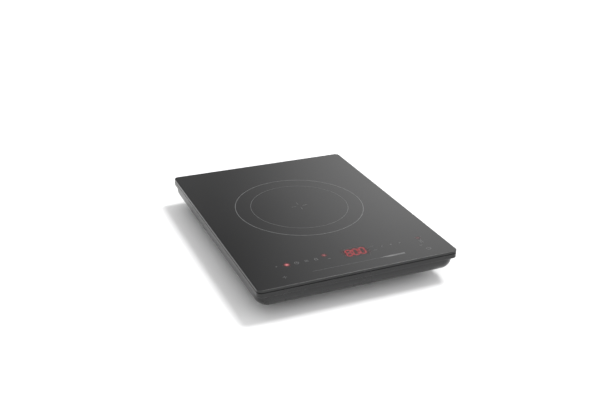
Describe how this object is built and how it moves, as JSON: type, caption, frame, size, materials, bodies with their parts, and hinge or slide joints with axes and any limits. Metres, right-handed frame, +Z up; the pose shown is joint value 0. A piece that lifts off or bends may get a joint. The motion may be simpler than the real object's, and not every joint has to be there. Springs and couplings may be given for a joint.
{
  "type": "induction cooktop",
  "caption": "Low rectangular induction cooktop: black glass plate with touch controls on a bowl-sided plastic case with rubber feet, coil, power board and cooling fan inside.",
  "frame": {"origin": "on the floor under the middle of the glass plate, the plane that the feet rest on", "axes": "+Z up, +X to the right along the front edge, +Y from the user's side to the back"},
  "size_m": [0.28, 0.362, 0.0445],
  "materials": {
    "ceramic_glass": "polished black ceramic glass",
    "silicone_black": "matte silicone",
    "shell_plastic": "fine-grained black moulding",
    "foot_rubber": "matte rubber",
    "gland_rubber": "matte rubber",
    "screw_steel": "zinc plated",
    "carrier_plastic": "heat-resistant moulding",
    "coil_copper": "enamelled litz wire",
    "ferrite": "sintered ferrite",
    "mica": "mica laminate",
    "spring_steel": "plain steel",
    "board_laminate": "green solder mask",
    "heatsink_aluminium": "extruded",
    "chip_black": "moulded epoxy",
    "capacitor_box": "moulded box",
    "terminal_plastic": "grey moulding",
    "terminal_brass": "plain brass",
    "fuse_glass": "glass tube with end clips",
    "fan_plastic": "black moulding",
    "display_red": "red diffuser",
    "cable_insulation": "flexible insulation"
  },
  "bodies": {
    "root": {"air_guide": "terminal_plastic", "board_screws": "screw_steel", "bottom_case": "shell_plastic", "bridge_rectifier": "chip_black", "buzzer": "chip_black", "case_screws": "screw_steel", "choke_core": "ferrite", "choke_winding": "coil_copper", "coil_bush_1": "silicone_black", "coil_bush_2": "silicone_black", "coil_bush_3": "silicone_black", "coil_carrier": "carrier_plastic", "coil_lead_inner": "cable_insulation", "coil_lead_outer": "cable_insulation", "coil_screws": "screw_steel", "coil_terminals": "terminal_brass", "control_board": "board_laminate", "cord_clamp": "terminal_plastic", "cord_gland": "gland_rubber", "display_module": "display_red", "fan_bearing": "terminal_brass", "fan_frame": "fan_plastic", "fan_screws": "screw_steel", "fan_stator": "terminal_brass", "ferrite_bar_1": "ferrite", "ferrite_bar_2": "ferrite", "ferrite_bar_3": "ferrite", "ferrite_bar_4": "ferrite", "ferrite_bar_5": "ferrite", "ferrite_bar_6": "ferrite", "filter_capacitor": "capacitor_box", "foot_back_left": "foot_rubber", "foot_back_right": "foot_rubber", "foot_front_left": "foot_rubber", "foot_front_right": "foot_rubber", "foot_screws": "screw_steel", "fuse": "fuse_glass", "glass_seal": "silicone_black", "glass_top": "ceramic_glass", "heatsink": "heatsink_aluminium", "heatsink_screws": "screw_steel", "igbt": "chip_black", "indicator_leds": "display_red", "induction_coil": "coil_copper", "mains_capacitor": "capacitor_box", "mains_terminal": "terminal_plastic", "mica_sheet": "mica", "power_board": "board_laminate", "resonant_capacitor": "capacitor_box", "ribbon_cable": "cable_insulation", "sensor_holder": "silicone_black", "supply_capacitor": "chip_black", "thermal_sensor": "spring_steel", "top_frame": "shell_plastic", "touch_springs": "spring_steel"},
    "rotor": {"fan_rotor": "fan_plastic", "fan_shaft": "spring_steel", "fan_magnet": "ferrite"}
  },
  "joints": [
    {"name": "fan_spin", "type": "hinge", "parent": "root", "child": "rotor", "pos_m": [0.064, 0.133, 0.0275], "axis": [0, 0, 1], "continuous": true}
  ]
}
